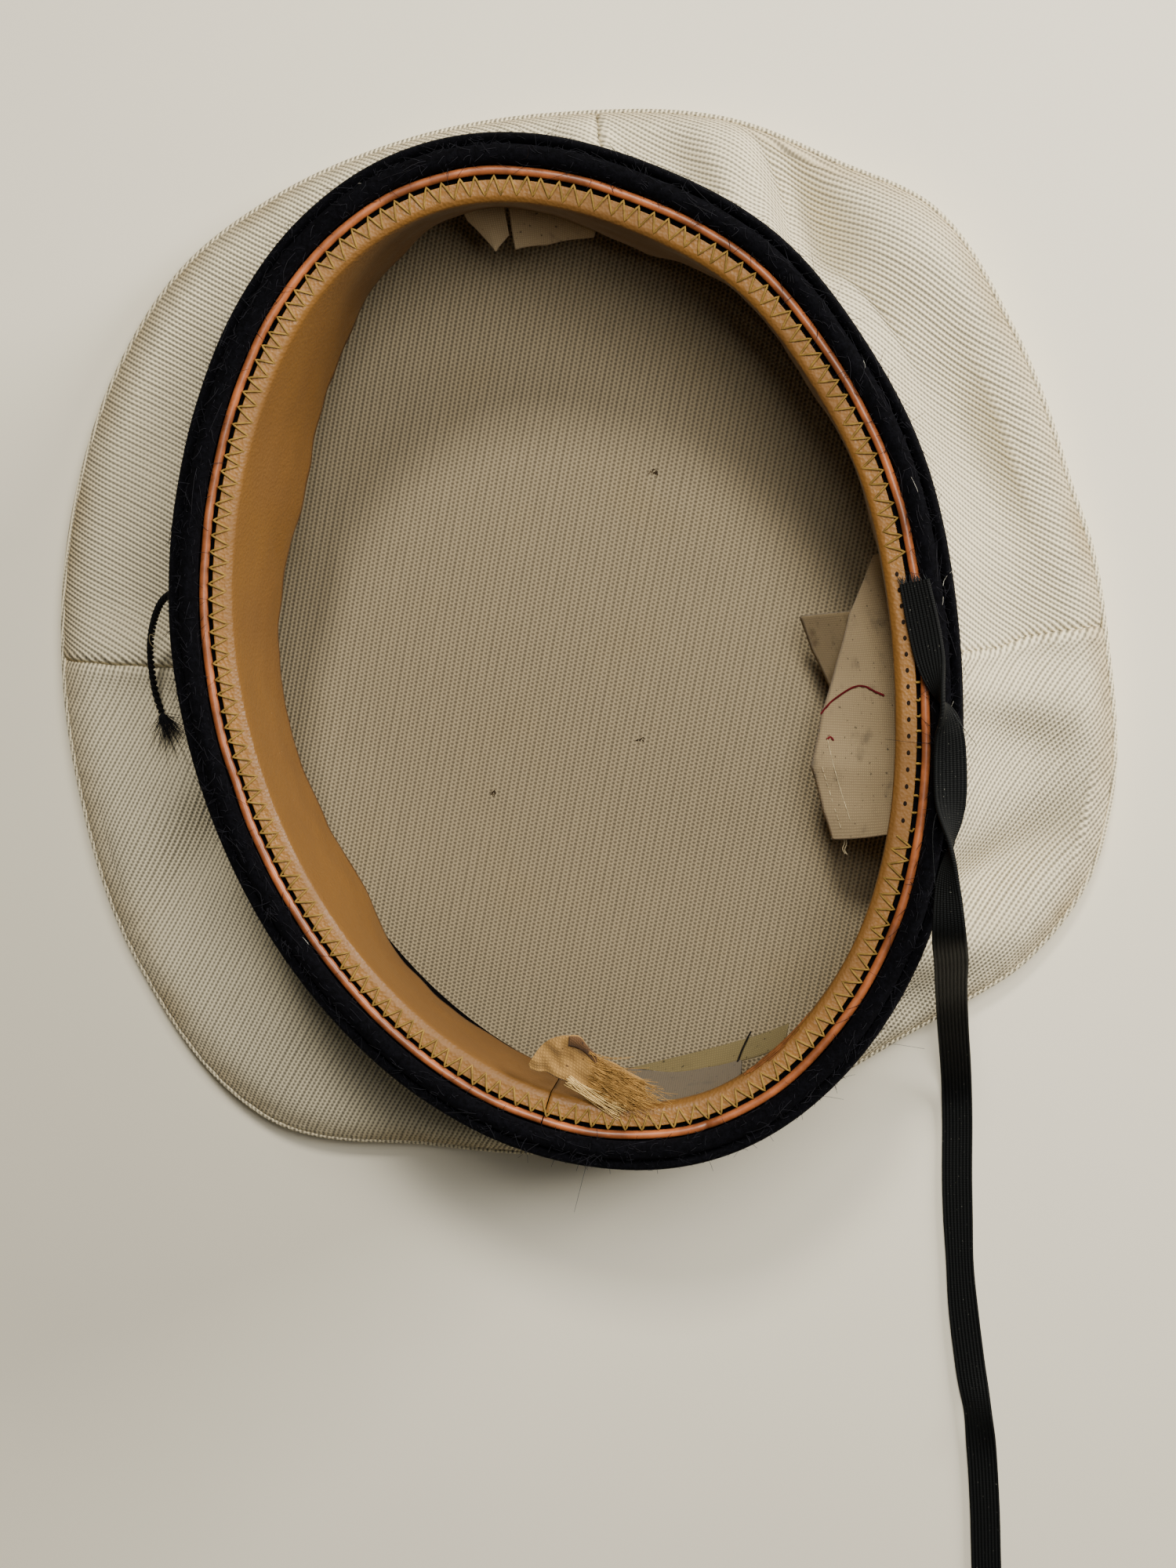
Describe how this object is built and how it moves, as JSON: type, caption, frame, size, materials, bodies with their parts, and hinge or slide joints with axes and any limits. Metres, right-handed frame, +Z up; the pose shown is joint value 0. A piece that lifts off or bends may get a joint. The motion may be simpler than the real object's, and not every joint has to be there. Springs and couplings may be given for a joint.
{
  "type": "sailor cap",
  "caption": "Round flat sailor cap of white ribbed cotton with a navy wool band, leather sweatband and loose elastic chin strap, lying crown down.",
  "frame": {"origin": "middle of the white top's outline, at the table that the cap lies on, crown down", "axes": "+Z up out of the head opening, +Y towards the front of the cap, +X towards the side with the chin strap"},
  "size_m": [0.261, 0.3744, 0.0871],
  "materials": {
    "white_cotton_rib": "ribbed cotton, aged to ivory",
    "navy_wool": "fuzzy woollen cloth",
    "tan_leather": "worn smooth leather",
    "copper_oilcloth": "coated cloth with a dull shine",
    "black_elastic": "ribbed woven elastic",
    "linen_tape": "plain linen weave, stained",
    "straw_ribbon": "frayed ribbon with a slight sheen"
  },
  "bodies": {
    "root": {"crown_disc": "white_cotton_rib", "panel_front_right": "white_cotton_rib", "panel_front_left": "white_cotton_rib", "panel_back_left": "white_cotton_rib", "panel_back_right": "white_cotton_rib", "band": "navy_wool", "rim_roll": "navy_wool", "sweatband_piping": "copper_oilcloth", "sweatband": "tan_leather", "side_tape": "linen_tape", "side_tape_stub": "linen_tape", "care_tape": "linen_tape", "front_tape": "linen_tape", "front_lining_tape": "linen_tape", "joint_ribbon": "straw_ribbon", "chin_strap": "black_elastic", "band_cord": "navy_wool", "cord_tuft": "navy_wool"}
  },
  "joints": []
}
